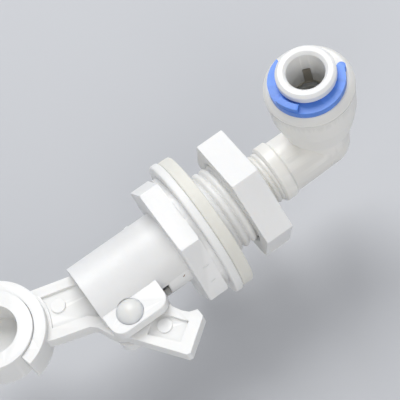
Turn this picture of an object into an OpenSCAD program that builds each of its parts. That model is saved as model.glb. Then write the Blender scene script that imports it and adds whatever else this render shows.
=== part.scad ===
// Small plastic float valve, lying on its side with the pivot pin upright.
// Origin: centre of the flange's seating shoulder, on the thread axis.
// +X runs along the thread towards the inlet elbow, +Z along the pivot pin.

/* [Body] */
// Outer radius of the valve tube
tube_r = 6.9; // [6.8:0.05:8.3]
// Length of tube from the hex flange to its open end
tube_len = 16.8; // [16.4:0.1:20.2]
// Distance across the flats of the hex flange
flange_af = 21.5; // [20:0.5:26]
// Thickness of the hex flange
flange_t = 3.75; // [3:0.25:4.5]
// Crest radius of the long body thread
thread_r = 7.7; // [7.6:0.1:9.3]
// Length of the long body thread
thread_len = 13.9; // [13.8:0.1:18]

/* [Wall stack] */
// Thickness of the hard washer
washer_t = 1.55; // [1:0.05:2.4]
// Thickness of the soft gasket
gasket_t = 2.3; // [1.5:0.1:3]
// Outer radius of the hard washer
washer_r = 13.1; // [11.5:0.1:16]
// Outer radius of the soft gasket
gasket_r = 12.8; // [11.5:0.1:16]
// Distance across the flats of the mounting nut
nut_af = 20.6; // [19:0.2:26]
// Thickness of the mounting nut
nut_t = 5.25; // [4:0.25:5.25]
// Face of the nut nearest the wall
nut_x = 8.4; // [7.5:0.1:8.5]

/* [Elbow] */
// Crest radius of the elbow's stem thread
stem_r = 4.86; // [4.4:0.02:5.84]
// Distance from the shoulder to the port axis
port_x = 27.8; // [27.4:0.2:36]
// Height of the cap joint above the thread axis
ridge_z = 18.2; // [18:0.2:25]
// Outer radius of the port cup at the cap joint
ridge_r = 7.67; // [7.4:0.05:9]
// Radius of the hole a supply tube goes in
tube_hole_r = 3.25; // [3.2:0.01:3.3]

/* [Lever] */
// Thickness of the lever
lever_t = 2.8; // [2.4:0.2:4]
// Outer radius of the lever's clamp ring
ring_r = 9.3; // [9:0.1:10.6]
// Height of the clamp ring
ring_h = 6; // [5:0.5:8]

/* [Float] */
// Outer radius of the float ball
ball_r = 21; // [16:0.5:26]
// Distance from the hub to the centre of the ball
arm_len = 47; // [42:1:70]
// Radius of the float arm
arm_r = 2.5; // [2.2:0.1:3]

/* [Hidden] */
$fn = 64;
eps = 0.01;
run_gap = 0.05;

flange_gap = 0.95;
flange_x = -flange_gap - flange_t;
tube_end = flange_x - tube_len;
flange_turn = 125;
shoulder_r = 11;
flange_chamfer = 0.2;
nut_chamfer = 0.15;
bore_r = 5.7;
mouth_r = 6.2;
mouth_len = 3.4;
wall_x = 1.6;
wall_t = 1.8;
inlet_r = stem_r + 0.09;
seat_hole_r = 2.4;
pitch = 1.5;
thread_deep = 0.8;

pivot_x = -17;
pivot_y = -7.7;
pin_r = 1.5;
pin_head_r = 2.4;
pin_head_h = 1.1;
pin_clip_r = 2.6;
pin_clip_t = 1;
ear_in = lever_t / 2 + 0.3;
ear_out = 4;
ear_x0 = tube_end + 0.2;
ear_x1 = -10.45;
ear_y = -10.5;
ear_round = 2.2;
slot_end = -9;

cam_r = -pivot_y;
cam_s = 5.5;
cam_x = pivot_x + cam_s;
cam_open = 37;
cam_shut = 5;

stub_r = 1.8;
plunger_r = bore_r - 0.3;
plunger_x0 = -6.9;
plunger_x1 = -1.8;
disc_r = 3;
disc_x0 = -3.4;
disc_x1 = -1;
seat_tip = -0.68;
orifice_r = 0.9;

hub_x = -37.7;
hub_y = 4.6;
ring_in = 7.2;
ring_a0 = -77;
ring_a1 = 130;
hub_r = 7.12;
hub_hole = 4.5;
hub_floor = 1.2;
tail_dir = -55.4;
pocket_deep = 0.5;
mark_r = 1.3;
mark_h = 0.3;

flow_r = 2.2;
stem_x0 = 5.3;
collar_x0 = 16.8;
collar_x1 = 19.1;
collar_r = 5.43;
elbow_r = 4.87;
neck_r = 4.6;
stem_pitch = 0.907;
stem_deep = 0.5;
cup_z0 = 7.4;
cup_r0 = 6.2;
cup_z1 = 12.4;
cup_r1 = 7.3;
cup_in = 5.6;
stop_z = 7.9;
ring_z0 = 10;
ring_z1 = 11.9;
spacer_t = 0.9;
cap_z0 = ridge_z - 2.2;
cap_z1 = ridge_z + 1.7;
cap_hole = 4.1;
cap_slope = 0.85;
cap_band = 0.45;
collet_neck = 3.85;
clip_t = 1.35;
clip_z = cap_z1 + run_gap;
flange_z = clip_z + clip_t + run_gap;
collet_top = flange_z + 2.1;
collet_flange_r = 5.05;
slot_turn = 62;
slot_w = 1.4;
barb_r = 4.8;
barb_z0 = 13.4;
barb_z1 = cap_z0 - 0.5;
clip_open = 41;
clip_r = 6.8;
clip_shift = 0.35;
clip_tip_x = 3;
clip_tip_y = 5.05;
clip_tip_r = 0.75;

ball_x = hub_x - arm_len;
shell_t = 1.3;
socket_r = 4.6;
socket_len = 6;
weld_h = 2.4;

// Turn a shape drawn upright so that its +Z lies along +X.
module along_x() {
    rotate([0, 90, 0])
        children();
}

// A cylinder on the thread axis between two x positions.
module rod_x(x0, x1, r) {
    translate([x0, 0, 0])
        along_x()
            cylinder(h = x1 - x0, r = r);
}

// A cone on the thread axis between two x positions.
module cone_x(x0, x1, r0, r1) {
    translate([x0, 0, 0])
        along_x()
            cylinder(h = x1 - x0, r1 = r0, r2 = r1);
}

// A hexagonal prism on the thread axis with its first corner at a given angle from +Y.
module hex_x(x0, x1, af, turn, cham) {
    corner = af / (2 * cos(30));
    intersection() {
        translate([x0, 0, 0])
            rotate([turn, 0, 0])
                rotate([90, 0, 90])
                    cylinder(h = x1 - x0, r = corner, $fn = 6);
        union() {
            cone_x(x0, x0 + cham, corner - 1.6 * cham, corner);
            rod_x(x0 + cham, x1 - cham, corner);
            cone_x(x1 - cham, x1, corner, corner - 1.6 * cham);
        }
    }
}

// Ring grooves that stand for a thread, cut from a cylinder on the thread axis.
module thread_cuts(x0, count, step, r, deep) {
    for (i = [0 : count - 1])
        translate([x0 + i * step, 0, 0])
            along_x()
                rotate_extrude()
                    polygon([[r - deep, 0.4 * step], [r - deep / 3, 0.3 * step], [r + 0.2, 0],
                             [r + 0.2, step], [r - deep / 3, 0.7 * step], [r - deep, 0.6 * step]]);
}

// Outline of the two ears that carry the pivot pin.
module ear_shape() {
    translate([ear_x0 + ear_round, ear_y + ear_round])
        circle(r = ear_round);
    translate([ear_x1 - ear_round, ear_y + ear_round])
        circle(r = ear_round);
    translate([ear_x0 + ear_round, ear_y])
        square([ear_x1 - ear_x0 - 2 * ear_round, -ear_y]);
    translate([ear_x0, ear_y + ear_round])
        square([ear_x1 - ear_x0, -ear_y - ear_round - 2]);
}

module valve_body() {
    color([0.93, 0.93, 0.92])
    difference() {
        union() {
            rod_x(tube_end, flange_x + eps, tube_r);
            hex_x(flange_x, -flange_gap, flange_af, flange_turn, flange_chamfer);
            rod_x(-flange_gap - eps, 0, shoulder_r);
            rod_x(-eps, thread_len, thread_r);
            translate([0, 0, -ear_out])
                linear_extrude(height = 2 * ear_out)
                    ear_shape();
        }
        rod_x(tube_end - 1, wall_x, bore_r);
        rod_x(tube_end - 1, tube_end + mouth_len, mouth_r);
        rod_x(wall_x + wall_t, thread_len + 1, inlet_r);
        rod_x(wall_x - 1, wall_x + wall_t + 1, seat_hole_r);
        cone_x(thread_len - 0.5, thread_len + eps, inlet_r, inlet_r + 0.5);
        translate([tube_end - 1, ear_y - 1, -ear_in])
            cube([slot_end - tube_end + 1, -ear_y + 1, 2 * ear_in]);
        translate([pivot_x, pivot_y, -ear_out - 1])
            cylinder(h = 2 * ear_out + 2, r = pin_r);
        translate([pivot_x, pivot_y, ear_out])
            cylinder(h = 3, r = pin_head_r + 0.03);
        translate([pivot_x, pivot_y, -ear_out - 3])
            cylinder(h = 3, r = pin_clip_r + 0.03);
        thread_cuts(0.4, floor((thread_len - 0.9) / pitch), pitch, thread_r, thread_deep);
    }
}

module nozzle_seat() {
    color([0.86, 0.87, 0.88])
    difference() {
        union() {
            cone_x(seat_tip, wall_x, orifice_r + 0.5, seat_hole_r);
            rod_x(wall_x - eps, wall_x + wall_t + eps, seat_hole_r);
            rod_x(wall_x + wall_t, wall_x + wall_t + 0.8, inlet_r - 0.6);
        }
        rod_x(seat_tip - 1, wall_x + wall_t + 2, orifice_r);
    }
}

module stem_washer() {
    x0 = wall_x + wall_t + 0.8;
    color([0.08, 0.08, 0.08])
    difference() {
        rod_x(x0, stem_x0 - run_gap, inlet_r - 0.3);
        rod_x(x0 - 1, stem_x0 + 1, flow_r + 0.1);
    }
}

// A flat ring that slides over the body thread.
module wall_ring(x0, x1, r) {
    difference() {
        rod_x(x0, x1, r);
        rod_x(x0 - 1, x1 + 1, thread_r + 0.3);
    }
}

module hard_washer() {
    color([0.95, 0.95, 0.94])
        wall_ring(0, washer_t, washer_r);
}

module soft_gasket() {
    color([0.82, 0.78, 0.66])
        wall_ring(washer_t, washer_t + gasket_t, gasket_r);
}

module mounting_nut() {
    color([0.93, 0.93, 0.92])
    difference() {
        hex_x(nut_x, nut_x + nut_t, nut_af, 107, nut_chamfer);
        rod_x(nut_x - 1, nut_x + nut_t + 1, thread_r + run_gap);
        cone_x(nut_x - eps, nut_x + 0.5, thread_r + 0.6, thread_r + run_gap);
        cone_x(nut_x + nut_t - 0.5, nut_x + nut_t + eps, thread_r + run_gap, thread_r + 0.6);
    }
}

module plunger() {
    color([0.9, 0.9, 0.88])
    difference() {
        union() {
            rod_x(cam_x + 0.03, plunger_x0 + eps, stub_r);
            rod_x(plunger_x0, plunger_x1, plunger_r);
        }
        rod_x(disc_x0, plunger_x1 + 1, disc_r);
        for (a = [45 : 90 : 315])
            rotate([a, 0, 0])
                translate([plunger_x0 - 1, plunger_r, 0])
                    along_x()
                        cylinder(h = plunger_x1 - plunger_x0 + 2, r = 1.4);
    }
}

module seal_disc() {
    color([0.07, 0.07, 0.07])
        rod_x(disc_x0, disc_x1, disc_r);
}

module pivot_pin() {
    color([0.94, 0.94, 0.93])
    translate([pivot_x, pivot_y, 0]) {
        translate([0, 0, -ear_out - 1.5])
            cylinder(h = 2 * ear_out + 1.5 + eps, r = pin_r);
        translate([0, 0, ear_out])
            rotate_extrude()
                intersection() {
                    square([pin_head_r, pin_head_h]);
                    translate([0, pin_head_h - 3.2])
                        circle(r = 3.2);
                }
    }
}

module pin_clip() {
    color([0.92, 0.92, 0.91])
    translate([pivot_x, pivot_y, -ear_out - pin_clip_t])
        difference() {
            cylinder(h = pin_clip_t, r = pin_clip_r);
            translate([0, 0, -1])
                cylinder(h = 3, r = pin_r);
            for (a = [0 : 120 : 240])
                rotate([0, 0, a])
                    translate([pin_r - 0.2, -0.3, -1])
                        cube([0.8, 0.6, 3]);
        }
}

// One point of the cam face: an involute, so lever angle and plunger travel stay in proportion.
function cam_point(a) =
    let (s = cam_s + cam_r * a * PI / 180)
    [pivot_x - cam_r * sin(a) + s * cos(a), pivot_y + cam_r * cos(a) + s * sin(a)];

// One point of the lever's tail, along and across its own direction from the pivot.
function tail_point(u, v) =
    [pivot_x + u * cos(tail_dir) - v * sin(tail_dir), pivot_y + u * sin(tail_dir) + v * cos(tail_dir)];

module lever_shape() {
    polygon(concat(
        [[-30.6, 8.3], [-28.5, 7.65], [tube_end, 5.6], [-19, 4.4], [-12.6, 0.95]],
        [for (i = [0 : 14]) cam_point(cam_shut - i * (cam_open + cam_shut) / 14)],
        [[pivot_x + 3.95, pivot_y + 4.15], [pivot_x + 4.9, pivot_y + 1.5], [pivot_x + 6.1, pivot_y - 1.6]],
        [tail_point(5.8, 3.8), tail_point(7.3, 3.6), tail_point(8.8, 3.75), tail_point(10, 4.6)],
        [tail_point(11.35, 3.75), tail_point(11.7, -3), tail_point(11.15, -3.5), tail_point(0, -3.65)],
        [[pivot_x - 4.6, pivot_y - 0.7], [-22.9, -5.4], [-23.8, -4.5], [-29.8, -2.65], [-31.3, -2]]));
}

// Shallow panel pocket in the wide face of the arm.
module arm_pocket() {
    difference() {
        polygon([[-29.6, 6], [-19.5, 3.1], [-17, 0.2], [-19.4, -4.2], [-21.7, -3.7],
                 [-23.1, -2.4], [-30.4, -0.2]]);
        translate([hub_x, hub_y])
            circle(r = ring_r + 0.6);
    }
}

module tail_pocket() {
    polygon([tail_point(3.4, 2.1), tail_point(9.3, 2.1), tail_point(9.3, -1.7), tail_point(3.4, -2.1)]);
}

module lever() {
    color([0.93, 0.93, 0.91]) {
        difference() {
            translate([0, 0, -lever_t / 2])
                linear_extrude(height = lever_t)
                    lever_shape();
            translate([pivot_x, pivot_y, -lever_t])
                cylinder(h = 2 * lever_t, r = pin_r + run_gap);
            translate([hub_x, hub_y, -ring_h])
                cylinder(h = 2 * ring_h, r = (ring_in + ring_r) / 2);
            for (s = [0, 1])
                mirror([0, 0, s])
                    translate([0, 0, lever_t / 2 - pocket_deep])
                        linear_extrude(height = 2) {
                            arm_pocket();
                            tail_pocket();
                        }
        }
        for (s = [0, 1])
            mirror([0, 0, s])
                for (spot = [[-26.2, 2.4], tail_point(5.6, 0.3)])
                    translate([spot[0], spot[1], lever_t / 2 - pocket_deep - eps])
                        cylinder(h = mark_h, r = mark_r);
        translate([hub_x, hub_y, -ring_h / 2])
            rotate([0, 0, ring_a0])
                rotate_extrude(angle = ring_a1 - ring_a0)
                    translate([ring_in, 0])
                        square([ring_r - ring_in, ring_h]);
    }
}

module float_arm() {
    color([0.94, 0.94, 0.93])
    difference() {
        union() {
            translate([hub_x, hub_y, -ring_h / 2 - 0.6])
                cylinder(h = ring_h + 1.2, r = hub_r);
            translate([ball_x + ball_r - socket_len, hub_y, 0])
                along_x()
                    cylinder(h = hub_x - ball_x - ball_r + socket_len - hub_hole - 0.5, r = arm_r);
            translate([hub_x - ring_r - 3.5, hub_y, 0])
                along_x()
                    cylinder(h = 5, r1 = arm_r, r2 = arm_r + 0.9);
        }
        translate([hub_x, hub_y, -ring_h / 2 - 0.6 + hub_floor])
            cylinder(h = 2 * ring_h, r = hub_hole);
    }
}

module float_lock_nut() {
    x0 = ball_x + ball_r + socket_len - 1.5;
    color([0.92, 0.92, 0.91])
    difference() {
        translate([x0, hub_y, 0])
            hex_x(0, 2.6, 9, 90, 0.4);
        translate([x0 - 1, hub_y, 0])
            rod_x(0, 5, arm_r);
    }
}

// Section of one half of the ball's shell: radius across, distance from the weld upwards.
module half_section() {
    intersection() {
        difference() {
            circle(r = ball_r, $fn = 96);
            circle(r = ball_r - shell_t, $fn = 96);
        }
        square(ball_r);
    }
}

module float_near_half() {
    inner_end = ball_r - socket_len - shell_t;
    outer_end = ball_r + socket_len - 1.5;
    color([0.95, 0.95, 0.94])
    translate([ball_x, hub_y, 0])
        along_x()
            rotate_extrude()
                difference() {
                    union() {
                        half_section();
                        translate([0, inner_end])
                            square([socket_r, outer_end - inner_end]);
                    }
                    translate([-eps, ball_r - socket_len])
                        square([arm_r + eps, 3 * socket_len]);
                }
}

module float_far_half() {
    color([0.95, 0.95, 0.94])
    translate([ball_x, hub_y, 0])
        mirror([1, 0, 0])
            along_x()
                rotate_extrude()
                    half_section();
}

module float_weld_ring() {
    color([0.93, 0.93, 0.92])
    translate([ball_x, hub_y, 0])
        along_x()
            rotate_extrude()
                translate([ball_r, -weld_h / 2])
                    square([0.6, weld_h]);
}

module elbow_outer() {
    rod_x(stem_x0, collar_x0, stem_r);
    cone_x(collar_x0 - 0.5, collar_x0 + eps, stem_r, collar_r);
    rod_x(collar_x0, collar_x1 - 0.4, collar_r);
    cone_x(collar_x1 - 0.4, collar_x1, collar_r, collar_r - 0.4);
    cone_x(collar_x1 - eps, port_x, elbow_r + 0.15, elbow_r);
    translate([port_x, 0, 0]) {
        sphere(r = elbow_r);
        cylinder(h = cup_z0 + eps, r = neck_r);
        translate([0, 0, cup_z0])
            cylinder(h = cup_z1 - cup_z0 + eps, r1 = cup_r0, r2 = cup_r1);
        translate([0, 0, cup_z1])
            cylinder(h = ridge_z - cup_z1, r1 = cup_r1, r2 = ridge_r);
    }
}

module elbow_body() {
    color([0.92, 0.92, 0.88])
    difference() {
        elbow_outer();
        rod_x(stem_x0 - 1, port_x, flow_r);
        thread_cuts(stem_x0 + 0.3, 12, stem_pitch, stem_r, stem_deep);
        translate([port_x, 0, 0]) {
            sphere(r = flow_r);
            cylinder(h = stop_z + 1, r = flow_r);
            translate([0, 0, stop_z])
                cylinder(h = 20, r = tube_hole_r + 0.02);
            translate([0, 0, ring_z0])
                cylinder(h = 20, r = barb_r + 0.1);
            translate([0, 0, ring_z1 + spacer_t])
                cylinder(h = 20, r = cup_in);
        }
    }
}

module tube_o_ring() {
    section = (ring_z1 - ring_z0) / 2 - 0.15;
    color([0.05, 0.05, 0.05])
    translate([port_x, 0, (ring_z0 + ring_z1) / 2])
        rotate_extrude()
            translate([tube_hole_r + 0.05 + section, 0])
                circle(r = section);
}

module spacer_ring() {
    color([0.88, 0.88, 0.86])
    translate([port_x, 0, ring_z1])
        difference() {
            cylinder(h = spacer_t, r = barb_r + 0.1);
            translate([0, 0, -1])
                cylinder(h = 5, r = tube_hole_r + 0.1);
        }
}

module port_cap() {
    color([0.93, 0.93, 0.9])
    translate([port_x, 0, 0])
        difference() {
            union() {
                translate([0, 0, cap_z0])
                    cylinder(h = ridge_z - cap_z0 + eps, r = cup_in);
                translate([0, 0, ridge_z])
                    cylinder(h = cap_band, r = ridge_r);
                translate([0, 0, ridge_z + cap_band])
                    cylinder(h = cap_z1 - ridge_z - cap_band, r1 = ridge_r, r2 = ridge_r - cap_slope);
            }
            translate([0, 0, cap_z0 - 1])
                cylinder(h = 10, r = cap_hole);
            translate([0, 0, cap_z0 - eps])
                cylinder(h = 1.4, r1 = barb_r + 0.1, r2 = cap_hole);
        }
}

module collet() {
    color([0.94, 0.94, 0.93])
    translate([port_x, 0, 0])
        difference() {
            rotate_extrude()
                polygon([[tube_hole_r + 0.35, barb_z0], [barb_r - 0.5, barb_z0], [barb_r, barb_z0 + 1.2],
                         [barb_r, barb_z1 - 0.6], [collet_neck, barb_z1], [collet_neck, flange_z],
                         [collet_flange_r - 0.35, flange_z], [collet_flange_r, flange_z + 0.45],
                         [collet_flange_r, collet_top - 0.5], [collet_flange_r - 0.5, collet_top],
                         [tube_hole_r + 0.5, collet_top], [tube_hole_r, collet_top - 0.5],
                         [tube_hole_r, cap_z0 + 1.3], [tube_hole_r + 0.35, cap_z0 + 1]]);
            for (a = [0 : 90 : 270])
                rotate([0, 0, a + slot_turn])
                    translate([0, -slot_w / 2, barb_z0 - 1])
                        cube([10, slot_w, cap_z1 - barb_z0 - 0.2]);
        }
}

module grab_ring() {
    color([0.72, 0.73, 0.75])
    translate([port_x, 0, barb_z0 + 0.6]) {
        difference() {
            cylinder(h = 0.3, r = tube_hole_r + 0.35);
            translate([0, 0, -1])
                cylinder(h = 3, r = tube_hole_r + 0.05);
            for (a = [0 : 30 : 330])
                rotate([0, 0, a + slot_turn + 15])
                    translate([0, -0.4, -1])
                        cube([tube_hole_r + 0.2, 0.8, 3]);
        }
        for (a = [0 : 90 : 270])
            rotate([0, 0, a + slot_turn])
                translate([tube_hole_r + 0.1, 0.05 - slot_w / 2, 0])
                    cube([0.3, slot_w - 0.1, 4]);
    }
}

// Flat outline of the locking clip, its mouth towards +X. One arm thins to a point, one ends in a bead.
module clip_shape() {
    difference() {
        translate([-clip_shift, 0])
            circle(r = clip_r - clip_shift);
        circle(r = collet_neck + 0.35);
        translate([0, -collet_neck - 0.2])
            square([20, 2 * collet_neck + 0.4]);
        translate([clip_tip_x, -20])
            square([20, 40]);
        translate([clip_tip_x - 1.2, clip_tip_y - 0.35])
            rotate([0, 0, -38])
                square([20, 20]);
    }
    translate([clip_tip_x, -clip_tip_y])
        circle(r = clip_tip_r);
}

module lock_clip() {
    color([0.22, 0.42, 0.9])
    translate([port_x, 0, clip_z])
        rotate([0, 0, clip_open]) {
            linear_extrude(height = clip_t)
                clip_shape();
            rotate([0, 0, 145])
                rotate_extrude(angle = 36)
                    translate([clip_r - 1.2, 0])
                        square([1.1, 2.3]);
        }
}

valve_body();
nozzle_seat();
stem_washer();
hard_washer();
soft_gasket();
mounting_nut();
plunger();
seal_disc();
pivot_pin();
pin_clip();
lever();
float_arm();
float_lock_nut();
float_near_half();
float_far_half();
float_weld_ring();
elbow_body();
tube_o_ring();
spacer_ring();
port_cap();
collet();
grab_ring();
lock_clip();
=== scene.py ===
"""Looks for the small plastic float valve: mouldings, seals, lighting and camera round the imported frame."""

import math

import bmesh
import bpy
from mathutils import Matrix, Vector

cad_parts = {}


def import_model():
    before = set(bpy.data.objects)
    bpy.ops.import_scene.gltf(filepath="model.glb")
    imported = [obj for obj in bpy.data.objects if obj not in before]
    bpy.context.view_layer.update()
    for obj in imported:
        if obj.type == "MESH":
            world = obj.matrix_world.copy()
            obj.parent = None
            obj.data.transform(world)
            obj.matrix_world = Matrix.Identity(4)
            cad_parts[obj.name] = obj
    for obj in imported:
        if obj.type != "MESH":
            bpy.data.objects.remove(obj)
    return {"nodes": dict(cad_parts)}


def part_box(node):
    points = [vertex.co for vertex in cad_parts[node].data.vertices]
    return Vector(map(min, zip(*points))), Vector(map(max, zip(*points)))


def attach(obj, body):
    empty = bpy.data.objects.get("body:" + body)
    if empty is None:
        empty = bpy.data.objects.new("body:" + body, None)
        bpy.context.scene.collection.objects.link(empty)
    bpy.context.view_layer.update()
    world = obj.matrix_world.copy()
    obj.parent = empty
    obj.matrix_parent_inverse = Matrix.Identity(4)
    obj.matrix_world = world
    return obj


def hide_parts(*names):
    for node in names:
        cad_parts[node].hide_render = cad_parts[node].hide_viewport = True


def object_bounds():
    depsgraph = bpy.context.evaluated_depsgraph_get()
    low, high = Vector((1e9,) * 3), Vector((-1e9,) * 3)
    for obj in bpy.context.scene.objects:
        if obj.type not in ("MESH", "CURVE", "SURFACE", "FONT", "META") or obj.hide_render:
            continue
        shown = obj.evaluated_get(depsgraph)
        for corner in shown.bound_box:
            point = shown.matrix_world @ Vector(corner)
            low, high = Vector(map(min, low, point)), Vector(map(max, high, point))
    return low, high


MM = 0.001
# Points closer than this are one point.
WELD_GAP = 0.002 * MM
# Faces that meet flatter than this are one face.
FLAT_ANGLE = math.radians(0.6)
# Faces that meet more sharply than this make an edge to round.
CORNER_ANGLE = math.radians(28)
# Radius of the ears' rounded outer rims.
RIM_ROUND = 0.65 * MM

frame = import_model()
cad_low, cad_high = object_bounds()


# ---------------------------------------------------------------- places read from the frame
def middle(node):
    """Centre of a CAD node's box."""
    low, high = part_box(node)
    return (Vector(low) + Vector(high)) / 2


PIN = middle("pivot_pin")


# ---------------------------------------------------------------- materials
def new_material(name):
    """An empty node material and its shader."""
    mat = bpy.data.materials.new(name)
    mat.use_nodes = True
    return mat, mat.node_tree.nodes, mat.node_tree.links, mat.node_tree.nodes["Principled BSDF"]


def noise(nodes, links, coord, scale, detail=3.0, rough=0.5):
    """A noise texture on the object's own coordinates."""
    node = nodes.new("ShaderNodeTexNoise")
    node.inputs["Scale"].default_value = scale
    node.inputs["Detail"].default_value = detail
    node.inputs["Roughness"].default_value = rough
    links.new(coord, node.inputs["Vector"])
    return node


def ramp(nodes, links, source, stops):
    """A colour ramp over a source, from (position, colour) stops."""
    node = nodes.new("ShaderNodeValToRGB")
    first, last = stops[0], stops[-1]
    node.color_ramp.elements[0].position = first[0]
    node.color_ramp.elements[0].color = (*first[1], 1)
    node.color_ramp.elements[1].position = last[0]
    node.color_ramp.elements[1].color = (*last[1], 1)
    for place, colour in stops[1:-1]:
        node.color_ramp.elements.new(place).color = (*colour, 1)
    links.new(source, node.inputs["Fac"])
    return node


def shade(colour, factor):
    """A colour made lighter or darker."""
    return tuple(min(1.0, c * factor) for c in colour)


def moulded(name, colour, rough, spread, bump, soft=0.0, spots=0.0, edge=0.0, clear=0.0):
    """Moulded plastic or rubber: cloudy colour, uneven gloss, fine grain, specks and a painted highlight on
    convex edges.
    """
    mat, nodes, links, shader = new_material(name)
    coord = nodes.new("ShaderNodeTexCoord").outputs["Object"]
    cloud = noise(nodes, links, coord, 90, 4, 0.6)
    tones = [(0.3, shade(colour, 1 - spread)), (0.55, colour), (0.75, shade(colour, 1 + spread))]
    base = ramp(nodes, links, cloud.outputs["Fac"], tones)
    colour_out = base.outputs["Color"]
    if spots:
        specks = noise(nodes, links, coord, 700, 2, 0.5)
        mask = ramp(nodes, links, specks.outputs["Fac"], [(0.70, (0, 0, 0)), (0.78, (spots, spots, spots))])
        mix = nodes.new("ShaderNodeMix")
        mix.data_type = "RGBA"
        mix.inputs["B"].default_value = (*shade(colour, 0.6), 1)
        links.new(mask.outputs["Color"], mix.inputs["Factor"])
        links.new(colour_out, mix.inputs["A"])
        colour_out = mix.outputs["Result"]
    # Painted highlight: convex edges (high pointiness) are painted lighter, as if light caught them.
    if edge:
        ridge = nodes.new("ShaderNodeNewGeometry").outputs["Pointiness"]
        edge_highlight_mask = ramp(nodes, links, ridge, [(0.50, (0, 0, 0)), (0.60, (1, 1, 1))])
        edge_highlight_mix = nodes.new("ShaderNodeMix")
        edge_highlight_mix.data_type = "RGBA"
        edge_highlight_mix.inputs["B"].default_value = (*shade(colour, 1 + 2 * edge), 1)
        links.new(edge_highlight_mask.outputs["Color"], edge_highlight_mix.inputs["Factor"])
        links.new(colour_out, edge_highlight_mix.inputs["A"])
        colour_out = edge_highlight_mix.outputs["Result"]
    links.new(colour_out, shader.inputs["Base Color"])
    smears = noise(nodes, links, coord, 160, 5, 0.65)
    gloss = nodes.new("ShaderNodeMapRange")
    gloss.inputs["To Min"].default_value = max(0.05, rough - 0.09)
    gloss.inputs["To Max"].default_value = rough + 0.12
    links.new(smears.outputs["Fac"], gloss.inputs["Value"])
    links.new(gloss.outputs["Result"], shader.inputs["Roughness"])
    fine = noise(nodes, links, coord, 900, 3, 0.6)
    relief = nodes.new("ShaderNodeBump")
    relief.inputs["Strength"].default_value = bump
    relief.inputs["Distance"].default_value = 0.3 * MM
    links.new(fine.outputs["Fac"], relief.inputs["Height"])
    links.new(relief.outputs["Normal"], shader.inputs["Normal"])
    if soft:
        shader.inputs["Subsurface Weight"].default_value = soft
        shader.inputs["Subsurface Radius"].default_value = (1.0, 0.9, 0.75)
        shader.inputs["Subsurface Scale"].default_value = 1.2 * MM
    shader.inputs["Transmission Weight"].default_value = clear
    return mat


def steel(name):
    """Stainless sheet with faint cloudy tarnish."""
    mat, nodes, links, shader = new_material(name)
    coord = nodes.new("ShaderNodeTexCoord").outputs["Object"]
    cloud = noise(nodes, links, coord, 400, 3, 0.5)
    base = ramp(nodes, links, cloud.outputs["Fac"], [(0.3, (0.62, 0.58, 0.50)), (0.7, (0.78, 0.74, 0.66))])
    links.new(base.outputs["Color"], shader.inputs["Base Color"])
    shader.inputs["Metallic"].default_value = 0.8
    shader.inputs["Roughness"].default_value = 0.5
    return mat


WHITE = moulded("white_plastic", (0.80, 0.80, 0.79), 0.42, 0.03, 0.12, soft=0.3, spots=0.06, edge=0.05)
ARM_WHITE = moulded("arm_plastic", (0.79, 0.79, 0.775), 0.38, 0.035, 0.12, soft=0.3, spots=0.08, edge=0.06)
WARM = moulded("elbow_plastic", (0.79, 0.78, 0.745), 0.32, 0.03, 0.09, soft=0.4, spots=0.05, edge=0.04)
WASHER = moulded("washer_plastic", (0.82, 0.82, 0.80), 0.52, 0.03, 0.16, soft=0.25, spots=0.06, edge=0.05)
GASKET = moulded("gasket_rubber", (0.745, 0.735, 0.675), 0.58, 0.05, 0.25, soft=0.35, spots=0.15, edge=0.06)
BLACK = moulded("seal_rubber", (0.004, 0.004, 0.0045), 0.75, 0.3, 0.2)
BLUE = moulded("clip_plastic", (0.085, 0.225, 0.68), 0.36, 0.06, 0.14, soft=0.15, edge=0.10)
FLOAT = moulded("float_plastic", (0.80, 0.80, 0.785), 0.36, 0.03, 0.08, soft=0.3, spots=0.05)
CLEAR = moulded("pin_plastic", (0.80, 0.80, 0.775), 0.34, 0.03, 0.10, soft=0.7, clear=0.05)
STAIN = moulded("stain", (0.30, 0.16, 0.10), 0.6, 0.2, 0.1)
STEEL = steel("stainless")

# The finish of every CAD node.
FINISH = {
    "valve_body": WHITE, "nozzle_seat": WASHER, "stem_washer": BLACK, "hard_washer": WASHER,
    "soft_gasket": GASKET, "mounting_nut": WHITE, "plunger": WASHER, "seal_disc": BLACK,
    "pivot_pin": CLEAR, "pin_clip": ARM_WHITE, "lever": ARM_WHITE, "float_arm": ARM_WHITE,
    "float_lock_nut": ARM_WHITE, "float_near_half": FLOAT, "float_far_half": FLOAT,
    "float_weld_ring": FLOAT, "elbow_body": WARM, "tube_o_ring": BLACK, "spacer_ring": WASHER,
    "port_cap": WARM, "collet": WHITE, "grab_ring": STEEL, "lock_clip": BLUE,
}
# Rounding of each moulding's edges, in millimetres.
EDGE_MM = {
    "valve_body": 0.2, "mounting_nut": 0.22, "lever": 0.22, "elbow_body": 0.2, "port_cap": 0.3,
    "collet": 0.42, "lock_clip": 0.16, "hard_washer": 0.4, "soft_gasket": 0.35, "float_arm": 0.6,
    "float_lock_nut": 0.2, "float_weld_ring": 0.25, "float_near_half": 0.15, "plunger": 0.2, "pin_clip": 0.3,
}

# Nodes whose faces stay as triangles: joined, the clip's flat top shades black beside its tab.
KEEP_FACES = {"lock_clip"}


def soften(obj, width):
    """Rounds the edges of a moulding as its tool would, without moving its faces."""
    weld = obj.modifiers.new("join", "WELD")
    weld.merge_threshold = WELD_GAP
    if obj.name not in KEEP_FACES:
        flat = obj.modifiers.new("flats", "DECIMATE")
        flat.decimate_type = "DISSOLVE"
        flat.angle_limit = FLAT_ANGLE
    bevel = obj.modifiers.new("edge", "BEVEL")
    bevel.width = width * MM
    bevel.segments = 3
    bevel.limit_method = "ANGLE"
    bevel.angle_limit = CORNER_ANGLE
    bevel.use_clamp_overlap = True
    bevel.miter_outer = "MITER_ARC"
    obj.modifiers.new("normals", "WEIGHTED_NORMAL").keep_sharp = False


def paint(obj, material):
    """Gives an object one material and smooth faces."""
    obj.data.materials.clear()
    obj.data.materials.append(material)
    for face in obj.data.polygons:
        face.use_smooth = True


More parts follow.
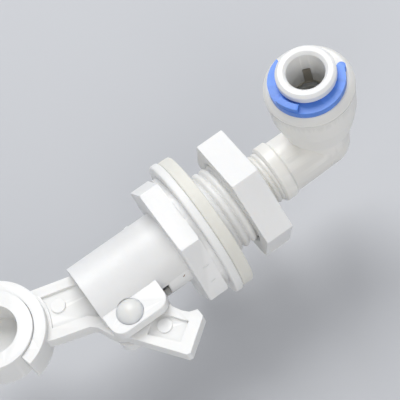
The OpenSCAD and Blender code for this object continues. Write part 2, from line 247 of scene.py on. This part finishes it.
def new_piece(name, mesh, body, material):
    """A mesh as an object that moves with a CAD body."""
    obj = bpy.data.objects.new(name, mesh)
    bpy.context.collection.objects.link(obj)
    paint(obj, material)
    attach(obj, body)
    return obj


# ---------------------------------------------------------------- real threads
def open_thread(node, start, end, core, round_off):
    """A copy of a CAD node's mesh without the skin of its ring thread, between two x positions."""
    source = frame["nodes"][node]
    bm = bmesh.new()
    bm.from_mesh(source.data)
    bmesh.ops.transform(bm, matrix=source.matrix_world, verts=bm.verts)
    bmesh.ops.remove_doubles(bm, verts=bm.verts, dist=WELD_GAP)
    bmesh.ops.dissolve_limit(bm, angle_limit=FLAT_ANGLE, verts=bm.verts, edges=bm.edges)
    if round_off:
        edges = [edge for edge in bm.edges if round_off(edge)]
        bmesh.ops.bevel(bm, geom=edges, offset=RIM_ROUND, segments=4, profile=0.5, affect="EDGES",
                        clamp_overlap=True)
    for place in (start, end):
        every = bm.verts[:] + bm.edges[:] + bm.faces[:]
        bmesh.ops.bisect_plane(bm, geom=every, plane_co=(place, 0, 0), plane_no=(1, 0, 0))
    skin = []
    for face in bm.faces:
        at = face.calc_center_median()
        if start < at.x < end and math.hypot(at.y, at.z) > core:
            skin.append(face)
    bmesh.ops.delete(bm, geom=skin, context="FACES")
    mesh = bpy.data.meshes.new(node + "_moulding")
    bm.to_mesh(mesh)
    bm.free()
    return mesh


def helix(name, start, end, crest, deep, pitch, last):
    """A right-hand thread with round crests and narrow roots that runs out at both ends."""
    around, fine = 96, 18
    rows = math.ceil((end - start) / pitch + 1) * fine
    points, faces = [], []
    for i in range(rows + 1):
        up = 1 - abs(2 * ((i / fine) % 1.0) - 1)
        for j in range(around):
            turn = 2 * math.pi * j / around
            x = start + pitch * (i / fine - 1 + j / around)
            x = min(end, max(start, x))
            fade = max(0.0, min(1.0, (x - start) / pitch, (end - x) / (0.5 * pitch)))
            r = last if x == end else crest - deep * (1 - up) ** 2.4 * fade
            points.append((x, r * math.cos(turn), r * math.sin(turn)))
    for i in range(rows):
        for j in range(around):
            k = (j + 1) % around
            step = fine if k == 0 else 0
            if i + step < rows:
                a, b = i * around + j, (i + step) * around + k
                faces.append((a, b, b + around, a + around))
    mesh = bpy.data.meshes.new(name)
    mesh.from_pydata(points, [], faces)
    bm = bmesh.new()
    bm.from_mesh(mesh)
    bmesh.ops.remove_doubles(bm, verts=bm.verts, dist=0.001 * MM)
    bmesh.ops.dissolve_degenerate(bm, dist=0.001 * MM, edges=bm.edges)
    bm.to_mesh(mesh)
    bm.free()
    return mesh


def threaded(node, body, material, start, end, crest, deep, pitch, last, round_off=None):
    """Stands for a CAD node: its moulding opened between two places, with a helix in the opening."""
    mesh = open_thread(node, start, end, crest - 2 * deep, round_off)
    skin = new_piece(node + "_moulding", mesh, body, material)
    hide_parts(node)
    soften(skin, EDGE_MM[node])
    new_piece(node + "_thread", helix(node + "_thread", start, end, crest, deep, pitch, last), body, material)


for name in FINISH:
    paint(frame["nodes"][name], FINISH[name])
    if name in EDGE_MM:
        soften(frame["nodes"][name], EDGE_MM[name])


def ear_rim(edge):
    """The outer rim of the two ears that hold the pin, away from the pin hole and the tube."""
    if len(edge.link_faces) != 2 or edge.calc_face_angle_signed() < math.radians(40):
        return False
    ear_face = 4 * MM
    pin_clear = 2 * MM
    tube_side = -5.7 * MM
    for vert in edge.verts:
        off_pin = math.hypot(vert.co.x - PIN.x, vert.co.y - PIN.y)
        if abs(abs(vert.co.z) - ear_face) > 0.02 * MM or off_pin < pin_clear or vert.co.y > tube_side:
            return False
    return True


# Crest radius of each thread in the solids; the helix stays just inside it.
WALL_R = 7.7 * MM
STEM_R = 4.86 * MM
INSIDE = 0.01 * MM
threaded("valve_body", "valve", WHITE, start=0.3 * MM, end=13.5 * MM, crest=WALL_R - INSIDE,
         deep=0.7 * MM, pitch=1.5 * MM, last=WALL_R, round_off=ear_rim)
threaded("elbow_body", "elbow", WARM, start=5.45 * MM, end=16.4 * MM, crest=STEM_R - INSIDE,
         deep=0.45 * MM, pitch=0.907 * MM, last=STEM_R + 0.11 * MM)


# ---------------------------------------------------------------- marks left by the mould
def nub(name, body, material, place, size, along, seed):
    """A small uneven lump, long in one direction, half sunk in the surface it sits on."""
    bm = bmesh.new()
    bmesh.ops.create_icosphere(bm, subdivisions=3, radius=1.0)
    for vert in bm.verts:
        wave = math.sin(3.1 * vert.co.x + seed) * math.cos(2.3 * vert.co.y + 2 * seed)
        vert.co *= 1 + 0.16 * wave + 0.06 * math.sin(7 * vert.co.z + seed)
    turn = Vector(along).to_track_quat("X", "Z").to_matrix().to_4x4()
    shape = Matrix.Translation(Vector(place) * MM) @ turn @ Matrix.Diagonal((*(Vector(size) * MM), 1))
    bmesh.ops.transform(bm, matrix=shape, verts=bm.verts)
    mesh = bpy.data.meshes.new(name)
    bm.to_mesh(mesh)
    bm.free()
    return new_piece(name, mesh, body, material)


nub("elbow_gate", "elbow", WARM, (26.5, -4.66, -0.5), (0.55, 0.32, 0.4), (1, -0.25, 0.2), 1.0)
nub("elbow_flow_mark", "elbow", WARM, (25.4, -4.72, 0.3), (1.1, 0.16, 0.16), (1, 0, -0.5), 2.0)
nub("tube_flash", "valve", WHITE, (-9.13, 6.1, 3.15), (0.5, 0.18, 0.16), (1, 0.1, 0), 3.0)
nub("tube_stain", "valve", STAIN, (-5.95, -6.74, 1.25), (0.28, 0.14, 0.1), (0.8, 0, 0.6), 4.0)
nub("flange_chip", "valve", WHITE, (-2.4, -9.5, 5.05), (0.75, 0.13, 0.13), (1, 0.05, 0.02), 5.0)
nub("flange_scuff", "valve", WHITE, (-2.5, -10.95, 1.95), (0.6, 0.09, 0.09), (1, 0.12, 0.04), 6.0)


# ---------------------------------------------------------------- floor, light and camera
def floor():
    """A wide pale sheet just under the lowest point."""
    half = 1.6
    z = cad_low[2] - 0.2 * MM
    corners = [(-half, -half, z), (half, -half, z), (half, half, z), (-half, half, z)]
    mesh = bpy.data.meshes.new("floor")
    mesh.from_pydata(corners, [], [(0, 1, 2, 3)])
    obj = bpy.data.objects.new("floor", mesh)
    bpy.context.collection.objects.link(obj)
    mat, _, _, shader = new_material("pale_floor")
    shader.inputs["Base Color"].default_value = (0.52, 0.53, 0.55, 1)
    shader.inputs["Roughness"].default_value = 0.6
    mesh.materials.append(mat)


def area_light(name, direction, distance, size, power, colour=(1, 1, 1)):
    """A soft panel that faces the origin from a direction."""
    data = bpy.data.lights.new(name, "AREA")
    data.size = size
    data.energy = power
    data.color = colour
    obj = bpy.data.objects.new(name, data)
    bpy.context.collection.objects.link(obj)
    obj.location = Vector(direction).normalized() * distance
    obj.rotation_euler = (-obj.location).to_track_quat("-Z", "Y").to_euler()


def camera():
    """Seen from above and a little to the outlet side, along the same line as the picture."""
    back = Vector((-0.1103, -0.4580, 0.8821)).normalized()
    right = Vector((0.8132, -0.5518, -0.1849))
    right = (right - back * right.dot(back)).normalized()
    up = back.cross(right)
    data = bpy.data.cameras.new("camera")
    data.sensor_width = 36
    data.lens = 139.4
    data.clip_start = 0.01
    data.clip_end = 20
    obj = bpy.data.objects.new("camera", data)
    bpy.context.collection.objects.link(obj)
    turn = Matrix((right, up, back)).transposed().to_4x4()
    obj.matrix_world = Matrix.Translation(Vector((-25.35, -119.35, 237.44)) * MM) @ turn
    bpy.context.scene.camera = obj


def world():
    """Even, slightly cool light from all round."""
    light = bpy.data.worlds.new("studio")
    light.use_nodes = True
    light.node_tree.nodes["Background"].inputs["Color"].default_value = (0.9, 0.93, 1.0, 1)
    light.node_tree.nodes["Background"].inputs["Strength"].default_value = 0.42
    bpy.context.scene.world = light


floor()
world()
area_light("key", (0.2, 0.6, 0.9), distance=0.55, size=0.32, power=2.0)
area_light("fill", (-0.25, -0.9, 0.75), distance=0.6, size=0.5, power=1.5, colour=(1.0, 0.975, 0.94))
area_light("rim", (0.9, 0.2, 0.35), distance=0.7, size=0.35, power=0.5)
camera()
bpy.context.scene.view_settings.view_transform = "Standard"
